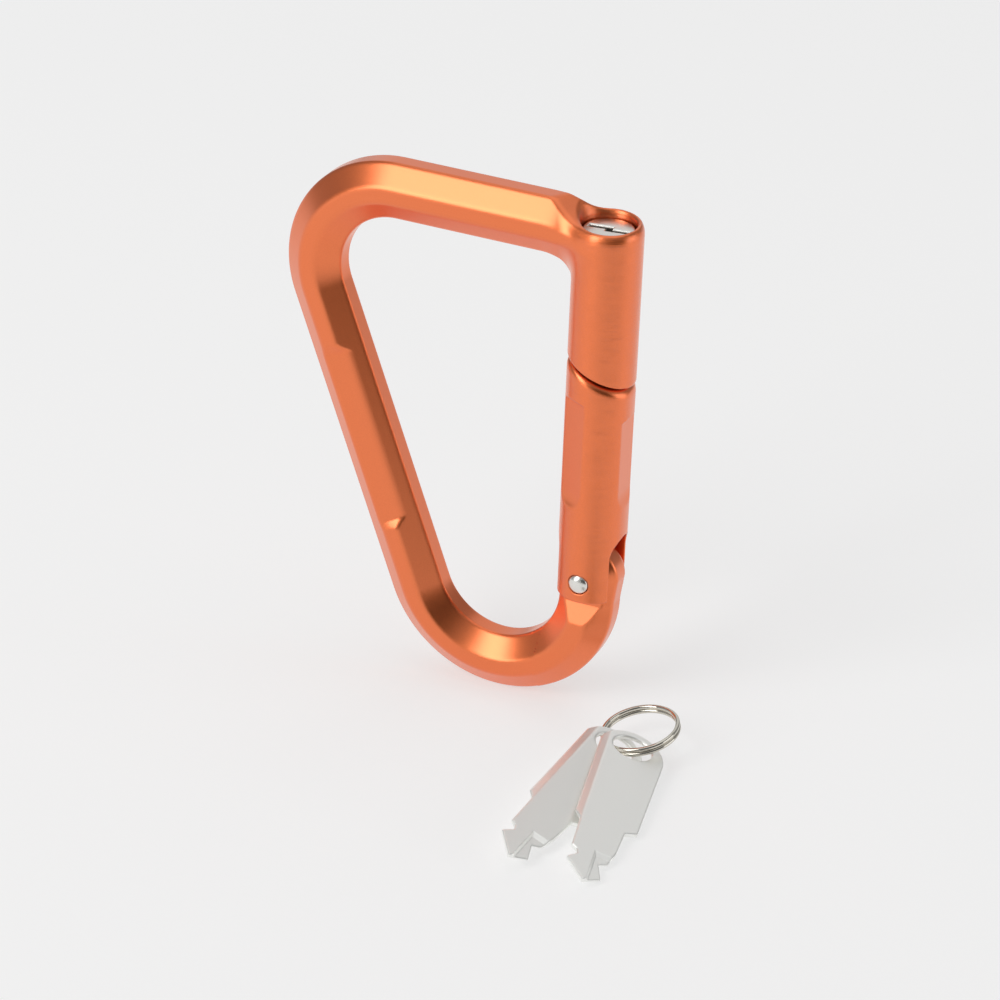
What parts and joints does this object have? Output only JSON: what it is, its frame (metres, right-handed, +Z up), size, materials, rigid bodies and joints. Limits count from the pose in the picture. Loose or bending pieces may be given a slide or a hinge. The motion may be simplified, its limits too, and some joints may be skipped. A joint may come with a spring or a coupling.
{
  "type": "locking carabiner key ring",
  "caption": "D-shaped locking carabiner with a keyed slide-bolt gate, and flat keys on a split ring.",
  "frame": {"origin": "middle of the top bar's inner face, where a strap or belt loop sits", "axes": "+Z up along the gate, from its hinge to the lock; +X from the spine to the gate; -Y is the front, towards the keys"},
  "size_m": [0.093, 0.067, 0.1046],
  "materials": {
    "orange_anodised": "bead-blasted and anodised orange",
    "nickel": "satin nickel",
    "bright_nickel": "polished nickel",
    "key_nickel": "satin nickel plate",
    "steel": "turned steel",
    "spring_steel": "drawn spring wire",
    "dark_steel": "blackened hardened pin",
    "brass": "machined brass"
  },
  "bodies": {
    "carabiner": {"frame": "orange_anodised", "bolt_guide": "brass"},
    "core": {"lock_core": "nickel", "cam_sleeve": "steel", "wafer_1": "brass", "wafer_2": "brass", "wafer_3": "brass", "wafer_spring_1": "spring_steel", "wafer_spring_2": "spring_steel", "wafer_spring_3": "spring_steel"},
    "bolt": {"lock_bolt": "steel", "bolt_cross_pin": "dark_steel"},
    "gate": {"gate": "orange_anodised", "gate_strike": "steel", "gate_rivet": "nickel", "gate_spring": "spring_steel"},
    "plunger": {"gate_plunger": "steel"},
    "key_set": {"split_ring": "bright_nickel"},
    "key_one": {"key_1": "key_nickel"},
    "key_two": {"key_2": "key_nickel"}
  },
  "joints": [
    {"name": "gate_hinge", "type": "hinge", "parent": "carabiner", "child": "gate", "pos_m": [0.025, 0, -0.0642], "axis": [0, -1, 0], "range_deg": [0, 28], "stiffness_Nm_per_rad": 0.12, "springref_deg": -22.92},
    {"name": "plunger_slide", "type": "slide", "parent": "gate", "child": "plunger", "axis": [0, 0, 1], "range_m": [0, 0.00112], "deforming": ["gate_spring"]},
    {"name": "core_turn", "type": "hinge", "parent": "carabiner", "child": "core", "pos_m": [0.025, 0, -0.0044], "axis": [0, 0, 1], "range_deg": [0, 90.4]},
    {"name": "bolt_slide", "type": "slide", "parent": "carabiner", "child": "bolt", "axis": [0, 0, -1], "range_m": [0, 0.0044]},
    {"name": "key_set_slide", "type": "slide", "parent": "carabiner", "child": "key_set", "axis": [0, -1, 0], "range_m": [0, 0.04]},
    {"name": "key_1_swing", "type": "hinge", "parent": "key_set", "child": "key_one", "pos_m": [0.04279, -0.01836, -0.0889], "axis": [0, 0, 1], "range_deg": [0, 10]},
    {"name": "key_2_swing", "type": "hinge", "parent": "key_set", "child": "key_two", "pos_m": [0.03914, -0.01853, -0.08955], "axis": [0, 0, 1], "range_deg": [-12, 0]}
  ],
  "couplings": [
    {"joint": "plunger_slide", "follows": "gate_hinge", "m_per_rad": 0.0022509},
    {"joint": "core_turn", "follows": "bolt_slide", "rad_per_m": 357}
  ]
}
